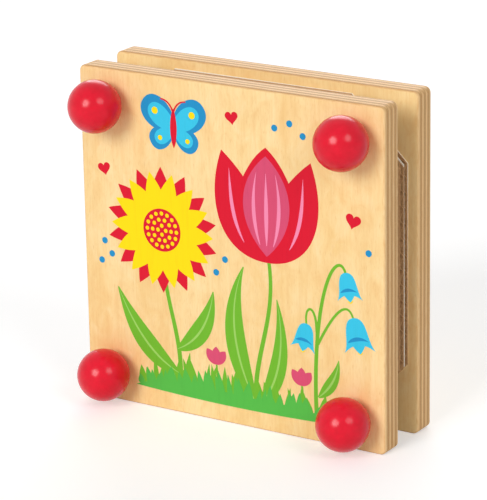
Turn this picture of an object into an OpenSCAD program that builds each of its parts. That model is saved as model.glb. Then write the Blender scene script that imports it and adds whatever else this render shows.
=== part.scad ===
// Flower press: two square plywood boards drawn together by four screws with round knobs,
// with sheets of cardboard and paper between them.
// It stands on the lower edges of its boards. Z is up, the printed front board faces -Y,
// and the origin is at the bottom, in the middle of the whole press.

/* [Boards] */
// Side of each square board
board_side = 165; // [140:1:220]
// Thickness of each board
board_thick = 12; // [10:0.5:18]
// Radius of the boards' rounded corners
board_corner_r = 3; // [2:0.5:8]
// Width of the sanded-off edge round both faces of a board
board_arris = 0.8; // [0.3:0.1:1.5]
// Distance from a board's edges to the middle of a bolt
bolt_inset = 16; // [14:0.5:24]
// Clearance round a bolt in the boards' holes, and in a knob past its brass thread
hole_clear = 0.5; // [0.2:0.1:1.5]

/* [Sheets] */
// Distance from a board's edge to the edge of the sheets
sheet_margin = 5; // [2:0.5:9]
// Thickness of one corrugated cardboard
cardboard_thick = 4; // [3:0.5:6]
// Distance between two waves of the corrugation
flute_pitch = 7.5; // [6:0.5:10]
// Thickness of a cardboard's flat outer layers
liner_thick = 0.4; // [0.3:0.1:0.7]
// Thickness of the wavy layer in a cardboard
wave_thick = 0.3; // [0.2:0.1:0.5]
// Thickness of one craft paper
paper_thick = 0.5; // [0.3:0.1:1]
// Space between a bolt and the cut corner of a sheet
sheet_clear = 2; // [1:0.5:5]

/* [Bolts] */
// Nominal diameter of the bolts' thread
bolt_d = 6; // [5:0.5:8]
// Diameter of a bolt's domed head
head_d = 16; // [13:0.5:18]
// Height of a bolt's domed head
head_h = 3.6; // [2.5:0.1:4.5]
// Depth that a head lies below the back board's surface
head_sink = 0.6; // [0.3:0.1:1.5]
// Clearance round a bolt's head in its counterbore
head_clear = 1; // [0.5:0.1:2]
// Side of the square neck under a head
neck_side = 6.3; // [6:0.1:9]
// Length of the square neck under a head
neck_len = 4.3; // [3:0.1:5]
// Length of thread that a knob holds when the press is shut
thread_grip = 16.7; // [14:0.1:18]
// Length of the chamfer at a bolt's tip
tip_chamfer = 0.7; // [0.3:0.1:1]

/* [Knobs] */
// Diameter of a ball knob
ball_d = 25.4; // [24:0.1:30]
// Diameter of the flat on which a knob turns
knob_flat_d = 12; // [11:0.5:16]
// Outer diameter of the brass thread in a knob
insert_d = 9; // [8.5:0.1:10.5]
// Length of the brass thread in a knob
insert_len = 12; // [8:0.5:14]
// Running clearance on the diameter, between a bolt and the brass thread
thread_clear = 0.1; // [0.06:0.02:0.16]
// Space in a knob past the tip of its bolt
tip_room = 1.3; // [0.8:0.1:2]

/* [Hidden] */
$fn = 96;
corner_fn = 32;
wave_steps = 12;
overrun = 1;

bolt_count = 4;
paper_count = 5;
cardboard_count = paper_count - 1;

bolt_nodes = [for (i = [1 : bolt_count]) str("bolt_", i)];
knob_nodes = [for (i = [1 : bolt_count]) str("knob_", i)];
insert_nodes = [for (i = [1 : bolt_count]) str("knob_insert_", i)];
paper_nodes = [for (i = [1 : paper_count]) str("paper_", i)];
cardboard_nodes = [for (i = [1 : cardboard_count]) str("cardboard_", i)];

// The stack of sheets, and the sheets' outline
stack_thick = paper_count * paper_thick + cardboard_count * cardboard_thick;
sheet_side = board_side - 2 * sheet_margin;
corner_to_bolt = sqrt(2) * (bolt_inset - sheet_margin);
sheet_corner_cut = sqrt(2) * (corner_to_bolt + bolt_d / 2 + sheet_clear);

// The wavy layer touches both liners and is glued into them by half its own thickness
flute_count = ceil(sheet_side / flute_pitch) + 2;
wave_reach = cardboard_thick / 2 - liner_thick;

// A knob is a ball with a flat, so its height is less than its diameter
ball_rise = sqrt(pow(ball_d / 2, 2) - pow(knob_flat_d / 2, 2));
knob_h = ball_rise + ball_d / 2;

// Places along the depth of the press, from the back face to the front of the knobs
press_depth = 2 * board_thick + stack_thick + knob_h;
back_y = press_depth / 2;
stack_y = back_y - board_thick;
front_board_y = stack_y - stack_thick;
front_y = front_board_y - board_thick;

// The bolts' holes and lengths
hole_d = bolt_d + 2 * hole_clear;
counterbore_d = head_d + 2 * head_clear;
counterbore_depth = head_h + head_sink;
shank_len = 2 * board_thick - counterbore_depth + stack_thick + thread_grip;
head_sphere_r = (pow(head_d / 2, 2) + pow(head_h, 2)) / (2 * head_h);
knob_bore_depth = thread_grip + tip_room;

// Middle of each bolt, seen from the front: lower left, lower right, upper right, upper left
bolt_reach = board_side / 2 - bolt_inset;
bolt_places = [
    [-bolt_reach, bolt_inset],
    [bolt_reach, bolt_inset],
    [bolt_reach, board_side - bolt_inset],
    [-bolt_reach, board_side - bolt_inset]
];

// How many papers and cardboards lie behind a layer, when layer 0 is the paper at the back
function papers_behind(layer) = floor((layer + 1) / 2);
function cardboards_behind(layer) = floor(layer / 2);
function layer_y(layer) =
    stack_y - papers_behind(layer) * paper_thick - cardboards_behind(layer) * cardboard_thick;

// Lays a shape drawn in X and Y, and raised in Z, against the plane at a depth y, facing the front
module facing_front(y) {
    translate([0, y, 0]) rotate([90, 0, 0]) children();
}

// Moves a shape to the middle of one bolt
module at_bolt(i) {
    translate(bolt_places[i - 1]) children();
}

// A square board with rounded corners and a small chamfer round both faces
module board_blank() {
    reach = board_side / 2 - board_corner_r;
    hull()
        for (x = [-reach, reach], y = [board_corner_r, board_side - board_corner_r])
            translate([x, y, 0]) {
                cylinder(r = board_corner_r - board_arris, h = board_thick, $fn = corner_fn);
                translate([0, 0, board_arris])
                    cylinder(r = board_corner_r, h = board_thick - 2 * board_arris, $fn = corner_fn);
            }
}

// Clearance holes for the four bolts, right through a board
module bolt_holes() {
    for (i = [1 : bolt_count])
        at_bolt(i)
            translate([0, 0, -overrun])
                cylinder(d = hole_d, h = board_thick + 2 * overrun);
}

// The pocket for one bolt's head and square neck, from the back board's outer face
module head_pocket() {
    translate([0, 0, -overrun])
        cylinder(d = counterbore_d, h = counterbore_depth + overrun);
    translate([-neck_side / 2, -neck_side / 2, 0])
        cube([neck_side, neck_side, counterbore_depth + neck_len]);
}

module back_board() {
    color("#e8c48c")
        facing_front(back_y)
            difference() {
                board_blank();
                bolt_holes();
                for (i = [1 : bolt_count])
                    at_bolt(i) head_pocket();
            }
}

module front_board() {
    color("#f3cf98")
        facing_front(front_board_y)
            difference() {
                board_blank();
                bolt_holes();
            }
}

// The cap of a sphere, with its flat side up at height zero
module domed_head() {
    intersection() {
        translate([0, 0, head_sphere_r - head_h]) sphere(r = head_sphere_r);
        translate([0, 0, -head_h]) cylinder(d = head_d, h = head_h);
    }
}

// A bolt with a domed head and a square neck; its head lies in the back board's pocket
module bolt(i) {
    plain_len = shank_len - tip_chamfer;
    color("#c9ccd1")
        facing_front(back_y - counterbore_depth)
            at_bolt(i) {
                domed_head();
                translate([-neck_side / 2, -neck_side / 2, 0])
                    cube([neck_side, neck_side, neck_len]);
                cylinder(d = bolt_d, h = plain_len);
                translate([0, 0, plain_len])
                    cylinder(d1 = bolt_d, d2 = bolt_d - 2 * tip_chamfer, h = tip_chamfer);
            }
}

// A ball with a flat towards the board, and a blind hole for the brass thread and the bolt
module knob(i) {
    color("#e0112d")
        facing_front(front_y)
            at_bolt(i)
                difference() {
                    translate([0, 0, ball_rise]) sphere(d = ball_d);
                    translate([0, 0, -ball_d]) cylinder(d = 2 * ball_d, h = ball_d);
                    translate([0, 0, -overrun]) cylinder(d = insert_d, h = insert_len + overrun);
                    cylinder(d = hole_d, h = knob_bore_depth);
                }
}

// The brass sleeve that holds the bolt's thread
module knob_insert(i) {
    color("#c8a24a")
        facing_front(front_y)
            at_bolt(i)
                difference() {
                    cylinder(d = insert_d, h = insert_len);
                    translate([0, 0, -overrun])
                        cylinder(d = bolt_d + thread_clear, h = insert_len + 2 * overrun);
                }
}

// A square with its corners cut off, centred under the bolts' square
module sheet_outline() {
    half = sheet_side / 2;
    cut = half - sheet_corner_cut;
    translate([0, board_side / 2])
        polygon([
            [-cut, -half], [cut, -half], [half, -cut], [half, cut],
            [cut, half], [-cut, half], [-half, cut], [-half, -cut]
        ]);
}

module paper(i) {
    color("#efe6d2")
        facing_front(layer_y(2 * (i - 1)))
            linear_extrude(paper_thick) sheet_outline();
}

// Height of the wavy layer's middle, as its flutes run from left to right
function wave(z) = wave_reach * cos(360 * z / flute_pitch);

// One edge of the wavy layer, shifted in height by half its thickness, over all flutes
function wave_edge(shift) = [
    for (step = [0 : flute_count * wave_steps])
        let (z = (step / wave_steps - flute_count / 2) * flute_pitch)
            [z, wave(z) + shift]
];

function backwards(points) = [for (i = [len(points) - 1 : -1 : 0]) points[i]];

// The section of a corrugated cardboard across its flutes: two liners and the wave between them
module flute_section() {
    reach = flute_count * flute_pitch / 2;
    for (side = [0, 1])
        translate([-reach, side * (cardboard_thick - liner_thick)])
            square([2 * reach, liner_thick]);
    translate([0, cardboard_thick / 2])
        polygon(concat(wave_edge(-wave_thick / 2), backwards(wave_edge(wave_thick / 2))));
}

module cardboard(i) {
    color("#c79c66")
        facing_front(layer_y(2 * i - 1))
            intersection() {
                linear_extrude(cardboard_thick) sheet_outline();
                translate([-board_side / 2, board_side / 2, 0])
                    rotate([90, 0, 90])
                        linear_extrude(board_side) flute_section();
            }
}

back_board();
front_board();
for (i = [1 : bolt_count]) {
    bolt(i);
    knob(i);
    knob_insert(i);
}
for (i = [1 : paper_count])
    paper(i);
for (i = [1 : cardboard_count])
    cardboard(i);
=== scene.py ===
"""The looks of a flower press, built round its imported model.

The press stands on the lower edges of its boards. Z is up, and the printed front board faces -Y.
Lengths are in metres, but for the print, which is drawn in millimetres on the board's face.
"""

import math
import random

import bmesh
import bpy
from mathutils import Matrix, Vector
from mathutils.geometry import delaunay_2d_cdt


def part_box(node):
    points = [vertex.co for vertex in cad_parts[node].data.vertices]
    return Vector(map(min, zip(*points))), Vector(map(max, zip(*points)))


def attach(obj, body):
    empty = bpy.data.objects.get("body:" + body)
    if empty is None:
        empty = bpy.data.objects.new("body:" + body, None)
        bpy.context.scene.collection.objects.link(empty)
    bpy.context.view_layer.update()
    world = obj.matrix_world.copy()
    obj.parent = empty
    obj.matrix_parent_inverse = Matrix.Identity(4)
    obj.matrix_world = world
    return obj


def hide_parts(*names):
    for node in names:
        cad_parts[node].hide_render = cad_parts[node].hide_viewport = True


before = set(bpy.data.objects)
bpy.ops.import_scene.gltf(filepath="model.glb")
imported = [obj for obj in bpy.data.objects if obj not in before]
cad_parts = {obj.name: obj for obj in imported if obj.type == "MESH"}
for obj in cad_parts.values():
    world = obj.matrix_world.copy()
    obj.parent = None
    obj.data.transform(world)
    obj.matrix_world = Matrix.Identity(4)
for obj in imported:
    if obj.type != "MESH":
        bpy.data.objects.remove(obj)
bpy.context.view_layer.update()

MM = 0.001

# The stretch of a pattern that is alike in all directions
EVENLY = (1, 1, 1)

# Places taken from the frame
FRONT_LOW, FRONT_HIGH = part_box("front_board")
BACK_LOW, BACK_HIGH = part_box("back_board")
SIDE = FRONT_HIGH.x - FRONT_LOW.x
THICK = FRONT_HIGH.y - FRONT_LOW.y
FACE_Y = FRONT_LOW.y

BOLTS = range(1, 5)
PAPERS = range(1, 6)
CARDBOARDS = range(1, 5)

# Real sizes that the frame's boxes don't give
BOARD_CORNER = 3 * MM
BOARD_ARRIS = 0.8 * MM
HOLE_R = 3.5 * MM
HOLE_ARRIS = 0.3 * MM
POCKET_R = 9 * MM
POCKET_DEPTH = 4.2 * MM
PLIES = 7
LINER = 0.4 * MM
WAVE_THICK = 0.3 * MM
FLUTE_PITCH = 7.5 * MM
SHEET_ARRIS = 0.08 * MM
NECK_SIDE = 6.3 * MM
NECK_LEN = 4.3 * MM
THREAD_R = 3 * MM
THREAD_ROOT_R = 2.45 * MM
THREAD_PITCH = 1 * MM
HEAD_RIM = 0.25 * MM
INSERT_R = 4.5 * MM
INSERT_LEN = 12 * MM
BALL_R = 12.7 * MM
KNOB_FLAT_R = 6 * MM
KNOB_BORE = 18 * MM
KNOB_SOFT = 0.4 * MM
INK_SINK = 0.1 * MM
INK_FIRST = 0.03 * MM
INK_STEP = 0.02 * MM

# Where the bolts' heads rest, at the bottom of their pockets in the back board
SEAT_Y = BACK_HIGH.y - POCKET_DEPTH

# How far a sheet may lie from its place when it is laid in by hand
SHEET_SHIFT_MM = 0.4
SHEET_TURN_DEGREES = 0.2

# Seeds of what varies from sheet to sheet, and of the grass
CARDBOARD_SEED = 50
WAVE_SEED = 100
GRASS_SEED = 5

# Steps round and along curved forms, and the angle past which an edge is sharp
EDGE_STEPS = 5
CORNER_STEPS = 12
HOLE_STEPS = 48
WAVE_STEPS = 24
THREAD_STEPS = 36
HEAD_STEPS = 64
DOME_STEPS = 20
BALL_STEPS = 96
BALL_RINGS = 60
CURVE_STEPS = 30
RIBBON_STEPS = 36
DOT_STEPS = 28
HEART_STEPS = 48
SHARP_ANGLE = math.radians(40)


def bolt_axis(i):
    """The x and z of one bolt's axis."""
    low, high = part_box(f"bolt_{i}")
    return (low.x + high.x) / 2, (low.z + high.z) / 2


# Materials

def linear(value):
    """One channel of an sRGB colour, 0 to 1, as scene-linear light."""
    return value / 12.92 if value <= 0.04045 else ((value + 0.055) / 1.055) ** 2.4


def rgb(code, share=1.0):
    """A colour such as #fbd794, at a share of its brightness, as scene-linear values and alpha."""
    return tuple(share * linear(int(code[i:i + 2], 16) / 255) for i in (1, 3, 5)) + (1.0,)


def add(tree, kind, inputs=None, **settings):
    """Adds a shader node, sets its properties, and sets or links its inputs."""
    node = tree.nodes.new("ShaderNode" + kind)
    for key, value in settings.items():
        setattr(node, key, value)
    for key, value in (inputs or {}).items():
        if isinstance(value, bpy.types.NodeSocket):
            tree.links.new(value, node.inputs[key])
        else:
            node.inputs[key].default_value = value
    return node


def maths(tree, operation, *values):
    """The result of a Math node on sockets or numbers."""
    return add(tree, "Math", dict(enumerate(values)), operation=operation).outputs[0]


def blend(tree, factor, a, b):
    """The result of a colour mix, where a and b are colours or sockets."""
    return add(tree, "Mix", {0: factor, 6: a, 7: b}, data_type="RGBA").outputs[2]


def noise(tree, stretch, scale, detail, roughness=0.6, distortion=0.0):
    """Noise on the piece's own coordinates, in metres, each axis multiplied by its stretch."""
    place = add(tree, "TexCoord").outputs["Object"]
    place = add(tree, "Mapping", {"Vector": place, "Scale": stretch}).outputs[0]
    inputs = {"Vector": place, "Scale": scale, "Detail": detail, "Roughness": roughness,
              "Distortion": distortion}
    return add(tree, "TexNoise", inputs).outputs[0]


def ranged(tree, value, low, high, to_low=0.0, to_high=1.0):
    """A value moved from one range to another, and held there."""
    inputs = {"Value": value, "From Min": low, "From Max": high, "To Min": to_low, "To Max": to_high}
    return add(tree, "MapRange", inputs).outputs[0]


def material(name, **constants):
    """A new material, its node tree and its shader, with constants set on the shader's own sockets."""
    made = bpy.data.materials.new(name)
    made.use_nodes = True
    shader = made.node_tree.nodes["Principled BSDF"]
    for key, value in constants.items():
        shader.inputs[key.replace("_", " ")].default_value = value
    return made, made.node_tree, shader


def link(tree, socket, shader, key):
    """Links a node's result to one of the shader's sockets."""
    tree.links.new(socket, shader.inputs[key])


def bump(tree, shader, height, distance, strength):
    """Relief from a height of 0 to 1, over a distance in metres."""
    inputs = {"Height": height, "Distance": distance, "Strength": strength}
    link(tree, add(tree, "Bump", inputs).outputs[0], shader, "Normal")


def grain(tree):
    """The fine upright streaks of the veneer, which also show through the ink."""
    return noise(tree, (1, 1, 0.06), scale=900, detail=5, roughness=0.65)


def veneer():
    """Pale mottled veneer with faint upright grain, under a thin clear lacquer."""
    made, tree, shader = material("birch_veneer", Specular_IOR_Level=0.35)
    figure = noise(tree, (1, 1, 0.12), scale=60, detail=3, roughness=0.5, distortion=0.8)
    mottle = noise(tree, (1, 1, 0.6), scale=110, detail=4, distortion=0.8)
    streaks = grain(tree)
    fibres = noise(tree, (1, 1, 0.11), scale=2600, detail=2, roughness=0.5)
    colour = blend(tree, ranged(tree, figure, 0.3, 0.7), rgb("#fadba0"), rgb("#f3cd8b"))
    colour = blend(tree, ranged(tree, mottle, 0.5, 0.72, 0, 0.6), colour, rgb("#efc07e"))
    colour = blend(tree, ranged(tree, mottle, 0.5, 0.3, 0, 0.5), colour, rgb("#fbe1ad"))
    colour = blend(tree, ranged(tree, streaks, 0.45, 0.75, 0, 0.3), colour, rgb("#e6b26c"))
    colour = blend(tree, ranged(tree, fibres, 0.58, 0.78, 0, 0.4), colour, rgb("#d9a05c"))
    link(tree, colour, shader, "Base Color")
    link(tree, ranged(tree, streaks, 0.3, 0.8, 0.42, 0.55), shader, "Roughness")
    bump(tree, shader, streaks, distance=0.05 * MM, strength=0.35)
    return made


def ply_layer(tree, front_y):
    """The number of plies in front of a point, which wanders a little along the edge."""
    depth = add(tree, "SeparateXYZ", {0: add(tree, "TexCoord").outputs["Object"]}).outputs[1]
    layer = maths(tree, "DIVIDE", maths(tree, "SUBTRACT", depth, front_y), THICK / PLIES)
    wander = noise(tree, (1, 0, 1), scale=60, detail=2)
    return maths(tree, "ADD", layer, ranged(tree, wander, 0.3, 0.7, -0.08, 0.08))


def end_grain_share(tree, layer):
    """1 where a ply's fibres come straight out of the edge, and 0 where they run along it.

    It fades away towards the board's faces."""
    crosswise = maths(tree, "FLOORED_MODULO", maths(tree, "FLOOR", layer), 2)
    facing = add(tree, "SeparateXYZ", {0: add(tree, "TexCoord").outputs["Normal"]})
    sideways = maths(tree, "POWER", facing.outputs[0], 2)
    upright = maths(tree, "POWER", facing.outputs[2], 2)
    outwards = maths(tree, "ADD", upright, sideways)
    level_share = maths(tree, "DIVIDE", upright, outwards)
    share = maths(tree, "ABSOLUTE", maths(tree, "SUBTRACT", crosswise, level_share))
    return maths(tree, "MULTIPLY", share, ranged(tree, outwards, 0.2, 0.5))


def glue_line(tree, layer):
    """Above 0 in a thin line between two plies."""
    from_middle = maths(tree, "ABSOLUTE", maths(tree, "SUBTRACT", maths(tree, "FRACT", layer), 0.5))
    inner = maths(tree, "COMPARE", layer, PLIES / 2, PLIES / 2 - 0.5)
    return maths(tree, "MULTIPLY", ranged(tree, from_middle, 0.44, 0.47, 0, 0.55), inner)


def ply_edge(name, front_y):
    """The cut edge of plywood, whose layers run along and across the edge by turns."""
    made, tree, shader = material(name, Roughness=0.6)
    layer = ply_layer(tree, front_y)
    end_grain = end_grain_share(tree, layer)
    along = noise(tree, (0.05, 1, 0.05), scale=4000, detail=3)
    pores = noise(tree, (1, 1.6, 1), scale=6500, detail=2)
    light = blend(tree, ranged(tree, along, 0.35, 0.7), rgb("#f3cf96"), rgb("#e3b273"))
    dark = blend(tree, ranged(tree, pores, 0.45, 0.62), rgb("#d6a466"), rgb("#b47e42"))
    colour = blend(tree, end_grain, light, dark)
    colour = blend(tree, glue_line(tree, layer), colour, rgb("#8a5a2a"))
    link(tree, colour, shader, "Base Color")
    relief = maths(tree, "ADD", along, maths(tree, "MULTIPLY", pores, end_grain))
    bump(tree, shader, relief, distance=0.08 * MM, strength=0.4)
    return made


def lacquer():
    """Thick red gloss lacquer on turned wood."""
    made, tree, shader = material("red_gloss_lacquer", Roughness=0.2, Specular_IOR_Level=0.28)
    tint = noise(tree, EVENLY, scale=220, detail=3)
    colour = blend(tree, ranged(tree, tint, 0.35, 0.65), rgb("#e4052a"), rgb("#da0426"))
    link(tree, colour, shader, "Base Color")
    ripples = noise(tree, EVENLY, scale=700, detail=3, roughness=0.7)
    bump(tree, shader, ripples, distance=0.1 * MM, strength=0.35)
    return made


def ink(name, code):
    """A flat opaque printing ink, through which the veneer's grain just shows."""
    made, tree, shader = material("ink_" + name, Roughness=0.55, Specular_IOR_Level=0.2)
    streaks = grain(tree)
    colour = blend(tree, ranged(tree, streaks, 0.5, 0.8, 0, 0.6), rgb(code), rgb(code, 0.86))
    link(tree, colour, shader, "Base Color")
    bump(tree, shader, streaks, distance=0.05 * MM, strength=0.25)
    return made


def metal(name, code, smoothest, roughest):
    """A plated or turned metal, whose fine scratches vary its roughness."""
    made, tree, shader = material(name, Metallic=1.0, Base_Color=rgb(code))
    marks = noise(tree, (1, 0.2, 1), scale=1500, detail=4)
    link(tree, ranged(tree, marks, 0.3, 0.7, smoothest, roughest), shader, "Roughness")
    bump(tree, shader, marks, distance=0.02 * MM, strength=0.3)
    return made


def kraft():
    """Brown kraft board with long fibres and flecks."""
    made, tree, shader = material("kraft_board", Roughness=0.85)
    fibres = noise(tree, (0.25, 1, 1), scale=1500, detail=4)
    flecks = noise(tree, (0.5, 1, 1), scale=3600, detail=2)
    colour = blend(tree, ranged(tree, fibres, 0.3, 0.7), rgb("#cda574"), rgb("#b5875a"))
    colour = blend(tree, ranged(tree, flecks, 0.62, 0.75, 0, 0.5), colour, rgb("#8d6438"))
    link(tree, colour, shader, "Base Color")
    bump(tree, shader, fibres, distance=0.1 * MM, strength=0.5)
    return made


def craft_paper():
    """Soft white craft paper with a felt surface."""
    made, tree, shader = material("felted_paper", Roughness=0.9)
    felt = noise(tree, EVENLY, scale=1800, detail=4)
    colour = blend(tree, ranged(tree, felt, 0.35, 0.7), rgb("#f7f3e8"), rgb("#e9e2d0"))
    link(tree, colour, shader, "Base Color")
    bump(tree, shader, felt, distance=0.1 * MM, strength=0.4)
    return made


# Mesh tools

def mesh_object(name, bm, *materials):
    """A new object from a bmesh, which is freed. Its smooth faces stay sharp at real edges."""
    bmesh.ops.recalc_face_normals(bm, faces=bm.faces)
    mesh = bpy.data.meshes.new(name)
    bm.to_mesh(mesh)
    bm.free()
    mesh.set_sharp_from_angle(angle=SHARP_ANGLE)
    for item in materials:
        mesh.materials.append(item)
    made = bpy.data.objects.new(name, mesh)
    bpy.context.scene.collection.objects.link(made)
    return made


def put(piece, body, slot, *nodes):
    """Says which body a piece rides on, and hides the CAD nodes that it stands for. The slot is not
    used.
    """
    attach(piece, body)
    if nodes:
        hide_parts(*nodes)


def area(loop):
    """Twice the signed area of a closed loop, positive where it runs anticlockwise."""
    return sum(a[0] * b[1] - b[0] * a[1] for a, b in zip(loop, loop[1:] + loop[:1]))


def fill(loops, holes=()):
    """Triangles over the union of the loops, less the holes, as points and index triples."""
    inside_only, tolerance = 1, 1e-7
    points, faces = [], []
    for loop in [*loops, *holes]:
        ordered = list(loop) if area(loop) > 0 else list(reversed(loop))
        faces.append(list(range(len(points), len(points) + len(ordered))))
        points += [Vector(point) for point in ordered]
    points, _, triangles, _, _, origins = delaunay_2d_cdt(points, [], faces, inside_only, tolerance)
    kept = [triangle for triangle, sources in zip(triangles, origins)
            if sources and max(sources) < len(loops)]
    return points, kept


def slab(bm, loops, back_y, front_y):
    """Adds a flat closed slab over the union of the loops."""
    points, triangles = fill(loops)
    used = sorted({i for triangle in triangles for i in triangle})
    front = {i: bm.verts.new((points[i][0], front_y, points[i][1])) for i in used}
    back = {i: bm.verts.new((points[i][0], back_y, points[i][1])) for i in used}
    rim = {}
    for triangle in triangles:
        bm.faces.new([front[i] for i in triangle])
        bm.faces.new([back[i] for i in reversed(triangle)])
        for a, b in zip(triangle, triangle[1:] + triangle[:1]):
            if rim.pop((b, a), None) is None:
                rim[a, b] = True
    for a, b in rim:
        bm.faces.new((front[b], front[a], back[a], back[b]))


def circle(x, z, radius, steps):
    """A circle as a loop that runs anticlockwise."""
    turns = (2 * math.pi * step / steps for step in range(steps))
    return [(x + radius * math.cos(turn), z + radius * math.sin(turn)) for turn in turns]


def rows_of(bm, loops_and_depths):
    """Rows of new points, each from a loop and its depth."""
    return [[bm.verts.new((x, y, z)) for x, z in loop] for loop, y in loops_and_depths]


def skin(bm, rows, slot=0, around=True):
    """Joins rows of points by smooth faces. A row of one point is the middle of a fan."""
    for row, after in zip(rows, rows[1:]):
        for k in range(0 if around else 1, max(len(row), len(after))):
            corners = [row[(k - 1) % len(row)], row[k % len(row)],
                       after[k % len(after)], after[(k - 1) % len(after)]]
            face = bm.faces.new(list(dict.fromkeys(corners)))
            face.smooth = True
            face.material_index = slot


def rounded(x, z):
    """A place to a ten-thousandth of a millimetre, by which the same point is found again."""
    return round(x, 7), round(z, 7)


def quarter_round(size):
    """The rounding of an edge, from a face to the side, as distances from the side and the face."""
    turns = [step / EDGE_STEPS * math.pi / 2 for step in range(EDGE_STEPS + 1)]
    return [(size * (1 - math.sin(turn)), size * (1 - math.cos(turn))) for turn in turns]


def plate(bm, outline, bores, back_y, front_y, arris, side_slot=0):
    """Adds a flat plate with soft edges. The outline is a function of an inset.

    A bore is its x and z, and its profile from the front to the back as depths and radii."""
    bend = quarter_round(arris)
    edge = [(outline(inset), front_y + depth) for inset, depth in bend]
    edge += [(outline(inset), back_y - depth) for inset, depth in reversed(bend)]
    walls = [rows_of(bm, edge)]
    for x, z, profile in bores:
        walls.append(rows_of(bm, [(circle(x, z, radius, HOLE_STEPS), y) for y, radius in profile]))
    for rows in walls:
        skin(bm, rows, side_slot)
    for end in (0, -1):
        loops = [[(vert.co.x, vert.co.z) for vert in rows[end]] for rows in walls]
        verts = {rounded(vert.co.x, vert.co.z): vert for rows in walls for vert in rows[end]}
        points, triangles = fill(loops[:1], loops[1:])
        for triangle in triangles:
            bm.faces.new([verts[rounded(*points[i])] for i in triangle])


def lathe(bm, profile, x, z, steps):
    """Adds a turned form about an axis along Y, from its outline as depths and radii."""
    rings = [(circle(x, z, radius, steps) if radius else [(x, z)], y) for y, radius in profile]
    skin(bm, rows_of(bm, rings))


# Boards

def board_outline(inset):
    """A board's rounded square, moved inwards by an inset."""
    radius = BOARD_CORNER - inset
    reach = SIDE / 2 - BOARD_CORNER
    points = []
    for quarter, (x, z) in enumerate(((1, 1), (-1, 1), (-1, -1), (1, -1))):
        for step in range(CORNER_STEPS + 1):
            turn = (quarter + step / CORNER_STEPS) * math.pi / 2
            points.append((x * reach + radius * math.cos(turn),
                           SIDE / 2 + z * reach + radius * math.sin(turn)))
    return points


def hole_end(y, radius, inwards):
    """The rounded mouth of a hole, from the surface inwards."""
    return [(y + inwards * depth, radius + wider) for wider, depth in quarter_round(HOLE_ARRIS)]


def board(node, body, profile, face):
    """A board that each bolt goes through, in a bore of one profile."""
    low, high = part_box(node)
    edge = ply_edge(f"{node}_edge", low.y)
    bores = [(*bolt_axis(i), profile) for i in BOLTS]
    bm = bmesh.new()
    plate(bm, board_outline, bores, high.y, low.y, BOARD_ARRIS, side_slot=1)
    put(mesh_object(f"{node}_dressed", bm, face, edge), body, "birch_plywood", node)


def front_board(face):
    """The front board, with a plain hole for each bolt."""
    profile = hole_end(FRONT_LOW.y, HOLE_R, 1) + hole_end(FRONT_HIGH.y, HOLE_R, -1)[::-1]
    board("front_board", "front", profile, face)


def back_board(face):
    """The back board, with a pocket for each bolt's head in its outer face."""
    profile = hole_end(BACK_LOW.y, HOLE_R, 1) + [(SEAT_Y, HOLE_R), (SEAT_Y, POCKET_R)]
    profile += hole_end(BACK_HIGH.y, POCKET_R, -1)[::-1]
    board("back_board", "base", profile, face)


# Sheets

def sheet_sizes(node):
    """Half a sheet's side, half of what its cut corners leave of it, and its middle's height."""
    low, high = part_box(node)
    near_top = high.z - 0.01 * MM
    cut = max(vert.co.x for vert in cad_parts[node].data.vertices if vert.co.z > near_top)
    return (high.x - low.x) / 2, cut, (low.z + high.z) / 2


def sheet_outline(half, cut, middle):
    """The outline of a sheet with its corners cut off, as a function of an inset."""
    corners = [(-cut, -half), (cut, -half), (half, -cut), (half, cut),
               (cut, half), (-cut, half), (-half, cut), (-half, -cut)]

    def outline(inset):
        share = 1 - inset / half
        return [(x * share, middle + z * share) for x, z in corners]

    return outline


def nudge(bm, seed, middle):
    """Shifts and turns a sheet by a hair, as sheets lie when they are laid in by hand."""
    rng = random.Random(seed)
    across = rng.uniform(-SHEET_SHIFT_MM, SHEET_SHIFT_MM) * MM
    upwards = rng.uniform(-SHEET_SHIFT_MM, SHEET_SHIFT_MM) * MM
    angle = math.radians(rng.uniform(-SHEET_TURN_DEGREES, SHEET_TURN_DEGREES))
    centre = Matrix.Translation((0, 0, middle))
    turn = centre @ Matrix.Rotation(angle, 4, "Y") @ centre.inverted()
    bmesh.ops.transform(bm, matrix=Matrix.Translation((across, 0, upwards)) @ turn, verts=bm.verts)


def paper(i, finish):
    """A craft paper. Papers and cardboards lie by turns, with a paper first and last."""
    node = f"paper_{i}"
    low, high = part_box(node)
    half, cut, middle = sheet_sizes(node)
    bm = bmesh.new()
    plate(bm, sheet_outline(half, cut, middle), [], high.y, low.y, SHEET_ARRIS)
    nudge(bm, i, middle)
    put(mesh_object(f"craft_sheet_{i}", bm, finish), f"sheet_{2 * i - 1}", "craft_paper", node)


def wavy_layer(bm, half, cut, middle, y, swing, seed):
    """Adds the layer between a cardboard's liners, whose waves start and drift by chance."""
    start = random.Random(seed).uniform(0, 2 * math.pi)
    drift, drift_length = 0.35, 23 * MM
    steps = round(2 * half / FLUTE_PITCH * WAVE_STEPS)
    rows = []
    for step in range(steps + 1):
        z = (2 * step / steps - 1) * (half - SHEET_ARRIS)
        width = min(half, half + cut - abs(z)) - SHEET_ARRIS
        phase = start + 2 * math.pi * z / FLUTE_PITCH + drift * math.sin(z / drift_length + start)
        wave_y = y + swing * math.cos(phase)
        rows.append([bm.verts.new((x, wave_y + side * WAVE_THICK / 2, middle + z))
                     for x, side in ((-width, -1), (width, -1), (width, 1), (-width, 1))])
    skin(bm, rows)
    bm.faces.new(rows[0])
    bm.faces.new(rows[-1])


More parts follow.
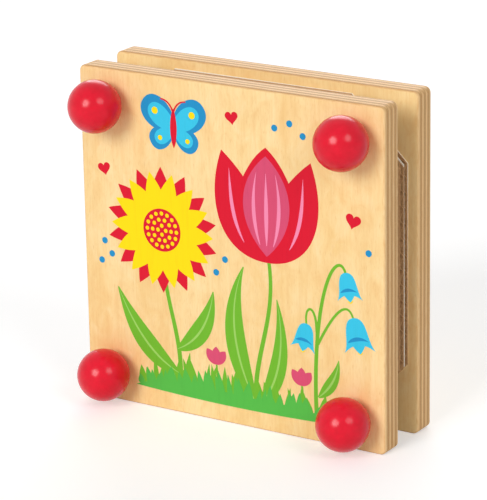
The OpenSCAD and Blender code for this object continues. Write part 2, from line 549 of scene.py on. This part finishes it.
def cardboard(i, finish):
    """A corrugated cardboard: two liners, and a wavy layer that is glued between them."""
    node = f"cardboard_{i}"
    low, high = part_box(node)
    half, cut, middle = sheet_sizes(node)
    outline = sheet_outline(half, cut, middle)
    bm = bmesh.new()
    plate(bm, outline, [], high.y, high.y - LINER, SHEET_ARRIS)
    plate(bm, outline, [], low.y + LINER, low.y, SHEET_ARRIS)
    swing = (high.y - low.y) / 2 - LINER - WAVE_THICK / 4
    wavy_layer(bm, half, cut, middle, (low.y + high.y) / 2, swing, WAVE_SEED + i)
    nudge(bm, CARDBOARD_SEED + i, middle)
    put(mesh_object(f"fluted_board_{i}", bm, finish), f"sheet_{2 * i}", "corrugated_cardboard", node)


# Bolts and knobs

def thread(bm, x, z, start_y, end_y):
    """Adds a right-hand screw thread towards -Y, as one helical skin closed at both ends."""
    ridge = [(0.0, False), (0.2, False), (0.52, True), (0.66, True)]
    weld = 0.0005 * MM
    turns = math.ceil((start_y - end_y) / THREAD_PITCH) + 2
    rows = []
    for number in range(-len(ridge), turns * len(ridge)):
        whole, part = divmod(number, len(ridge))
        share, crest = ridge[part]
        row = []
        for step in range(THREAD_STEPS + 1):
            turn = step / THREAD_STEPS
            y = start_y - (whole + share + turn) * THREAD_PITCH
            radius = THREAD_R if crest and end_y < y < start_y else THREAD_ROOT_R
            angle = 2 * math.pi * turn
            row.append(bm.verts.new((x + radius * math.cos(angle), min(max(y, end_y), start_y),
                                     z + radius * math.sin(angle))))
        rows.append(row)
    skin(bm, rows, around=False)
    bmesh.ops.remove_doubles(bm, verts=bm.verts, dist=weld)
    bmesh.ops.holes_fill(bm, edges=[edge for edge in bm.edges if edge.is_boundary], sides=0)


def bolt(i, finish):
    """A bolt with a domed head and a square neck, threaded from its neck to its tip."""
    x, z = bolt_axis(i)
    low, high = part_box(f"bolt_{i}")
    head_r = (high.x - low.x) / 2
    rise = high.y - SEAT_Y
    sphere_r = (head_r ** 2 + rise ** 2) / (2 * rise)
    bm = bmesh.new()
    thread(bm, x, z, SEAT_Y - NECK_LEN, low.y)
    profile = [(SEAT_Y, 0), (SEAT_Y, head_r - HEAD_RIM / 2), (SEAT_Y + HEAD_RIM / 2, head_r),
               (SEAT_Y + HEAD_RIM, head_r)]
    past_rim = 3
    for step in range(past_rim, DOME_STEPS):
        radius = head_r * math.cos(step / DOME_STEPS * math.pi / 2)
        profile.append((high.y - sphere_r + math.sqrt(sphere_r ** 2 - radius ** 2), radius))
    lathe(bm, [*profile, (high.y, 0)], x, z, HEAD_STEPS)
    half = NECK_SIDE / 2
    neck = [(x - half, z - half), (x + half, z - half), (x + half, z + half), (x - half, z + half)]
    slab(bm, [neck], SEAT_Y + HEAD_RIM, SEAT_Y - NECK_LEN - HEAD_RIM)
    put(mesh_object(f"bolt_{i}_dressed", bm, finish), "base", "zinc_steel", f"bolt_{i}")


def knob(i, finish):
    """A ball with a flat, and a blind hole for the brass thread and the bolt."""
    rise = math.sqrt(BALL_R ** 2 - KNOB_FLAT_R ** 2)
    profile = [(KNOB_BORE, 0), (KNOB_BORE, HOLE_R), (INSERT_LEN, HOLE_R), (INSERT_LEN, INSERT_R),
               (0, INSERT_R), (0, KNOB_FLAT_R - KNOB_SOFT),
               (0.1 * KNOB_SOFT, KNOB_FLAT_R - 0.2 * KNOB_SOFT)]
    start = math.atan2(KNOB_FLAT_R, -rise) - KNOB_SOFT / BALL_R
    for step in range(BALL_RINGS):
        turn = start * (1 - step / BALL_RINGS)
        profile.append((rise + BALL_R * math.cos(turn), BALL_R * math.sin(turn)))
    profile.append((rise + BALL_R, 0))
    bm = bmesh.new()
    lathe(bm, [(FACE_Y - height, radius) for height, radius in profile], *bolt_axis(i), BALL_STEPS)
    put(mesh_object(f"ball_knob_{i}", bm, finish), f"screw_knob_{i}", "red_lacquer", f"knob_{i}")


def brass_sleeve(i, finish):
    """The sleeve in a knob stays as the frame has it, and only gets its finish."""
    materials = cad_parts[f"knob_insert_{i}"].data.materials
    materials.clear()
    materials.append(finish)


# Outlines for the print, in millimetres: x from the board's middle, y up from its lower edge

def bezier(points, steps=CURVE_STEPS):
    """Points along a Bezier curve of any degree, without its last one."""
    made = []
    for step in range(steps):
        row = [Vector(point) for point in points]
        while len(row) > 1:
            row = [a.lerp(b, step / steps) for a, b in zip(row, row[1:])]
        made.append(row[0])
    return made


def closed(*curves):
    """A loop from Bezier curves that follow each other."""
    return [point for curve in curves for point in bezier(curve)]


def mirrored(*curves):
    """A loop from the left half of a symmetrical outline, given from its foot to its top."""
    other = [[(-x, y) for x, y in reversed(curve)] for curve in reversed(curves)]
    return closed(*curves, *other)


def placed(loop, x, y, size, angle=0.0):
    """A loop scaled, turned anticlockwise by degrees, and moved."""
    turn = Matrix.Rotation(math.radians(angle), 2)
    return [turn @ (Vector(point) * size) + Vector((x, y)) for point in loop]


def petal(x, y, angle, length, width, root=0.25, tip=0.75):
    """A petal from its root. A root near 0 or a tip near 1 makes that end blunt.

    Each side reaches three quarters of the way to its curve's two middle points."""
    bulge = width / length / 1.5
    outline = closed([(0, 0), (root, bulge), (tip, bulge), (1, 0)],
                     [(1, 0), (tip, -bulge), (root, -bulge), (0, 0)])
    return placed(outline, x, y, length, angle)


def rosette(x, y, count, length, width, root, tip, start=0.0):
    """Petals all round one place, from a first one at an angle."""
    return [petal(x, y, start + 360 * k / count, length, width, root, tip) for k in range(count)]


def ribbon(points, half_width):
    """A strip along a Bezier curve; half_width is a function of the share of the way along."""
    line = [*bezier(points, RIBBON_STEPS), Vector(points[-1])]
    left, right = [], []
    for k, here in enumerate(line):
        ahead = line[min(k + 1, RIBBON_STEPS)] - line[max(k - 1, 0)]
        side = Vector((-ahead.y, ahead.x)).normalized() * half_width(k / RIBBON_STEPS)
        left.append(here + side)
        right.append(here - side)
    return left + right[::-1]


def stem(low, high, *points):
    """A stem from one width to another."""
    return ribbon(points, lambda share: (low + (high - low) * share) / 2)


def leaf(width, *points):
    """A curved leaf, widest before its middle, whose two ends keep just enough width to be closed."""
    def half_width(share):
        return width / 2 * math.sin(math.pi * (0.02 + 0.96 * share) ** 0.8)

    return ribbon(points, half_width)


def heart(x, y, size, angle):
    """A heart as wide as its size, by the usual formula in sines and cosines."""
    loop = []
    for step in range(HEART_STEPS):
        turn = 2 * math.pi * step / HEART_STEPS
        waves = [share * math.cos(k * turn) for k, share in ((1, 13), (2, -5), (3, -2), (4, -1))]
        loop.append((math.sin(turn) ** 3, sum(waves) / 16))
    return placed(loop, x, y, size / 2, angle)


def dots(radius, *places):
    """Round dots at the places."""
    return [circle(x, y, radius, DOT_STEPS) for x, y in places]


def tulip_cup(x, y, size):
    """A cup of three petals, seen from the side."""
    outline = mirrored([(0, 0), (-0.5, 0.0), (-0.66, 0.5), (-0.47, 1.0)],
                       [(-0.47, 1.0), (-0.34, 0.9), (-0.24, 0.78)],
                       [(-0.24, 0.78), (-0.14, 0.98), (0, 1.08)])
    return placed(outline, x, y, size)


def bell(x, y, size, angle):
    """A bell hung by its top, with three points round its mouth."""
    outline = mirrored([(0, -1.08), (-0.1, -1.0), (-0.2, -0.84)],
                       [(-0.2, -0.84), (-0.34, -0.88), (-0.52, -1.02)],
                       [(-0.52, -1.02), (-0.28, -0.7), (-0.46, 0.0), (0, 0)])
    return placed(outline, x, y, size, angle)


def grass(rng, count, low, high):
    """Pointed blades along the foot of the board, shorter towards its ends."""
    reach, foot = 51, 11
    blades = []
    for k in range(count):
        share = k / (count - 1)
        x = (2 * share - 1) * reach + rng.uniform(-1.2, 1.2)
        angle = 90 + rng.uniform(-16, 16)
        length = rng.uniform(low, high) * (0.45 + 0.55 * math.sin(math.pi * share) ** 0.5)
        width = rng.uniform(2.8, 4.4)
        blades.append(petal(x, foot, angle, length, width, root=0.05, tip=0.45))
    return blades


# The print

INKS = {
    "leaf_green": "#6fb52c",
    "meadow_green": "#54b847",
    "pale_green": "#9ccf62",
    "yellow": "#fcdc00",
    "crimson": "#da0c2c",
    "pink": "#d84d71",
    "blush": "#f58cb0",
    "cyan": "#36c4e6",
    "blue": "#1e8fc6",
}

# Places on the board. A bell is its x, y, size and angle, and a leaf is its width and its curve
SUNFLOWER = (-38, 90)
TULIP = (20, 83)
BUTTERFLY = (-30, 140)
BELLS = [(66, 64, 16, 12), (41, 57, 13, -10), (62, 85, 13, 10)]
BUDS = [(-9, 28), (38, 26)]
LEAVES = [
    (11, (-30, 20), (-46, 26), (-56, 40), (-64, 58)),
    (10, (-31, 32), (-18, 38), (-12, 50), (-10, 64)),
    (11, (13, 12), (1, 34), (-3, 56), (7, 79)),
    (9, (15, 12), (25, 24), (30, 42), (25, 66)),
    (6, (47, 22), (53, 27), (57, 33), (58, 42)),
]


def foliage():
    """Stems and leaves, with grass behind and in front of them."""
    rng = random.Random(GRASS_SEED)
    tulip_x, tulip_y = TULIP
    stems = [
        stem(2.6, 1.8, (-30, 12), (-26, 40), (-40, 55), SUNFLOWER),
        stem(2.6, 1.8, (13, 12), (11, 38), (27, 58), (tulip_x, tulip_y + 6)),
        stem(2.2, 1.2, (46, 12), (44, 50), (49, 90), (60, 94), (62, 84)),
        stem(1.4, 1.0, (47, 48), (56, 66), (63, 73), (66, 63)),
        stem(1.4, 1.0, (46, 44), (47, 58), (47, 68), (39, 68), (41, 56)),
    ]
    stems += [stem(1.3, 1.0, (x, 12), (x + 1, 20), (x, y + 1)) for x, y in BUDS]
    stems += [leaf(*one) for one in LEAVES]
    back_grass = grass(rng, 30, 14, 23)
    front_grass = grass(rng, 34, 9, 15)
    ground = closed([(-55, 10), (-44, 16), (-20, 16), (0, 15)],
                    [(0, 15), (24, 14), (44, 17), (55, 10)],
                    [(55, 10), (0, 7), (-55, 10)])
    return [
        ("stems", "leaf_green", stems),
        ("back_grass", "leaf_green", back_grass),
        ("veins", "pale_green", [leaf(1.1, *line) for width, *line in LEAVES]),
        ("front_grass", "meadow_green", [*front_grass, ground]),
    ]


def sunflower():
    """Two rings of petals round a disc with rings of seeds."""
    petals = 14
    back = rosette(*SUNFLOWER, petals, length=31, width=11, root=0.3, tip=0.62, start=180 / petals)
    front = rosette(*SUNFLOWER, petals, length=28.5, width=10.5, root=0.3, tip=0.62)
    disc = circle(*SUNFLOWER, radius=10.5, steps=64)
    seed_rings = [(8.2, 16), (5.2, 10), (2.2, 4)]
    seeds = [place for radius, count in seed_rings for place in circle(*SUNFLOWER, radius, count)]
    return [
        ("back_petals", "crimson", back),
        ("sun_petals", "yellow", front),
        ("sun_disc", "crimson", [disc]),
        ("sun_seeds", "yellow", dots(1.0, *seeds)),
    ]


def tulip():
    """A cup of three petals with upright lines on them."""
    x, y = TULIP
    size = 51
    lines = [leaf(0.042, (0, 0.16), (0, 0.38), (0, 0.62), (0, 0.84))]
    for foot, bow, lean in ((0.07, 0.15, 0.1), (0.24, 0.38, 0.39)):
        for side in (-1, 1):
            across = side * foot, side * bow, side * bow, side * lean
            lines.append(leaf(0.038, *zip(across, (0.16, 0.38, 0.62, 0.84))))
    middle = petal(x, y + 3, angle=90, length=48, width=25, root=0.3, tip=0.72)
    return [
        ("tulip_cup", "crimson", [tulip_cup(x, y, size)]),
        ("tulip_middle", "pink", [middle]),
        ("tulip_lines", "blush", [placed(line, x, y, size) for line in lines]),
    ]


def bellflowers():
    """Three hanging bells, each with a clapper and a band."""
    band = leaf(0.12, (-0.34, -0.72), (-0.12, -0.6), (0.12, -0.6), (0.34, -0.72))
    clappers = [placed([(0, -1.02)], *place)[0] for place in BELLS]
    return [
        ("clappers", "yellow", dots(1.3, *clappers)),
        ("bells", "cyan", [bell(*place) for place in BELLS]),
        ("bell_bands", "blue", [placed(band, *place) for place in BELLS]),
    ]


def butterfly():
    """Two pairs of wings with panels and spots, and a body with two feelers."""
    x, y = BUTTERFLY
    wings, panels, spots = [], [], []
    upper = 38, 21, 15, 0.2, 13, 1.7
    lower = -32, 15, 11, 0.3, 9, 1.2
    for right, length, width, root, spot_reach, spot_radius in (upper, lower):
        for angle in (right, 180 - right):
            wings.append(petal(x, y, angle, length, width, root, tip=1.0))
            panels.append(petal(x, y, angle, 0.8 * length, 0.66 * width, root, tip=1.0))
            spots += dots(spot_radius, *placed([(spot_reach, 0)], x, y, 1, angle))
    body = petal(x, y - 9, angle=90, length=19, width=3.6)
    feelers = [stem(0.9, 0.6, (x, y + 8), (x + side * 2, y + 14), (x + side * 7, y + 14))
               for side in (-1, 1)]
    return [
        ("wings", "blue", wings),
        ("wing_panels", "cyan", panels),
        ("wing_spots", "yellow", spots),
        ("butterfly_body", "crimson", [body, *feelers]),
    ]


def small_motifs():
    """Hearts, the buds on their stems, and dots."""
    hearts = [heart(-70, 116, 7, 14), heart(66, 110, 8, -12), heart(2, 150, 7, 8)]
    buds = [petal(x, y, angle, length=9, width=5) for x, y in BUDS for angle in (55, 90, 125)]
    dot_places = [(-73, 70), (-67, 74), (-71, 80), (40, 146), (33, 151), (25, 148),
                  (-3, 81), (-8, 74), (74, 96)]
    return [
        ("hearts", "crimson", hearts),
        ("buds", "pink", buds),
        ("dots", "blue", dots(1.6, *dot_places)),
    ]


def print_layers():
    """Every layer as its level, and its name, ink and outlines.

    A motif's layers come from the wood outwards. The foliage's stems are level 0, under all the rest."""
    layers = list(enumerate(foliage()))
    for motif in (sunflower, tulip, bellflowers, butterfly, small_motifs):
        layers += enumerate(motif(), 1)
    return layers


def artwork():
    """The inks as thin closed slabs, each a hair above what it is printed on."""
    finishes = {name: ink(name, code) for name, code in INKS.items()}
    for level, (name, colour, loops) in print_layers():
        bm = bmesh.new()
        metres = [[(x * MM, y * MM) for x, y in loop] for loop in loops]
        slab(bm, metres, FACE_Y + INK_SINK, FACE_Y - INK_FIRST - level * INK_STEP)
        put(mesh_object("print_" + name, bm, finishes[colour]), "front", "printed_ink")


# Studio

def direction(azimuth, elevation):
    """The unit vector towards a view in degrees. Azimuth 0 is in front, and 90 is to the right."""
    turn, lift = math.radians(azimuth), math.radians(elevation)
    return Vector((math.sin(turn) * math.cos(lift), -math.cos(turn) * math.cos(lift), math.sin(lift)))


def camera():
    """The photograph's viewpoint, turned about its own line of sight by a hair."""
    place = (0.6884, -1.0731, 0.4909)
    azimuth, elevation, roll = 32.63, 17.72, math.radians(-1.03)
    focal_pixels, picture_pixels, sensor_mm = 2869.9, 500, 36
    back = direction(azimuth, elevation)
    level = (-back).cross(Vector((0, 0, 1))).normalized()
    upright = level.cross(-back)
    right = level * math.cos(roll) + upright * math.sin(roll)
    up = upright * math.cos(roll) - level * math.sin(roll)
    lens = bpy.data.cameras.new("camera")
    lens.sensor_width = sensor_mm
    lens.lens = focal_pixels / picture_pixels * sensor_mm
    eye = bpy.data.objects.new("camera", lens)
    axes = Matrix((right, up, back)).transposed().to_4x4()
    eye.matrix_world = Matrix.Translation(place) @ axes
    bpy.context.scene.collection.objects.link(eye)
    bpy.context.scene.camera = eye


def lamp(name, azimuth, elevation, width, level):
    """A far round lamp that looks as wide as an angle in degrees, and lights the floor evenly.

    The level is how bright it alone makes a white surface that faces it."""
    light = bpy.data.lights.new(name, "SUN")
    light.angle = math.radians(width)
    light.energy = level * math.pi
    holder = bpy.data.objects.new(name, light)
    holder.rotation_euler = direction(azimuth, elevation).to_track_quat("Z", "Y").to_euler()
    bpy.context.scene.collection.objects.link(holder)


def seen(tree):
    """1 for what the camera sees straight, in a reflection or through glass, and else 0."""
    path = add(tree, "LightPath").outputs
    either = maths(tree, "MAXIMUM", path["Is Camera Ray"], path["Is Glossy Ray"])
    return maths(tree, "MAXIMUM", either, path["Is Transmission Ray"])


def surroundings(level):
    """A plain white world, which lights the press at its level and looks fully white."""
    world = bpy.data.worlds.new("studio")
    world.use_nodes = True
    tree = world.node_tree
    background = tree.nodes["Background"]
    background.inputs["Color"].default_value = (1, 1, 1, 1)
    tree.links.new(ranged(tree, seen(tree), 0, 1, level, 1), background.inputs["Strength"])
    bpy.context.scene.world = world


def floor():
    """A plain pale floor, lifted towards white where it is seen."""
    lift, reach = 0.36, 12
    made, tree, shader = material("pale_floor", Base_Color=(0.8, 0.8, 0.8, 1), Roughness=0.9,
                                  Emission_Color=(1, 1, 1, 1))
    link(tree, ranged(tree, seen(tree), 0, 1, 0, lift), shader, "Emission Strength")
    bm = bmesh.new()
    bmesh.ops.create_grid(bm, x_segments=1, y_segments=1, size=reach)
    mesh_object("floor", bm, made)


# The press

wood = veneer()
front_board(wood)
back_board(wood)
artwork()
zinc = metal("bright_zinc", "#b2b6bb", smoothest=0.26, roughest=0.42)
red = lacquer()
brass = metal("turned_brass", "#c8a24a", smoothest=0.19, roughest=0.31)
for i in BOLTS:
    bolt(i, zinc)
    knob(i, red)
    brass_sleeve(i, brass)
white_paper = craft_paper()
for i in PAPERS:
    paper(i, white_paper)
brown_board = kraft()
for i in CARDBOARDS:
    cardboard(i, brown_board)

bpy.context.scene.view_settings.view_transform = "Standard"
floor()
surroundings(level=0.32)
lamp("key", azimuth=-6, elevation=25, width=28, level=0.55)
lamp("fill", azimuth=65, elevation=34, width=25, level=0.22)
lamp("back", azimuth=205, elevation=25, width=40, level=0.38)
camera()
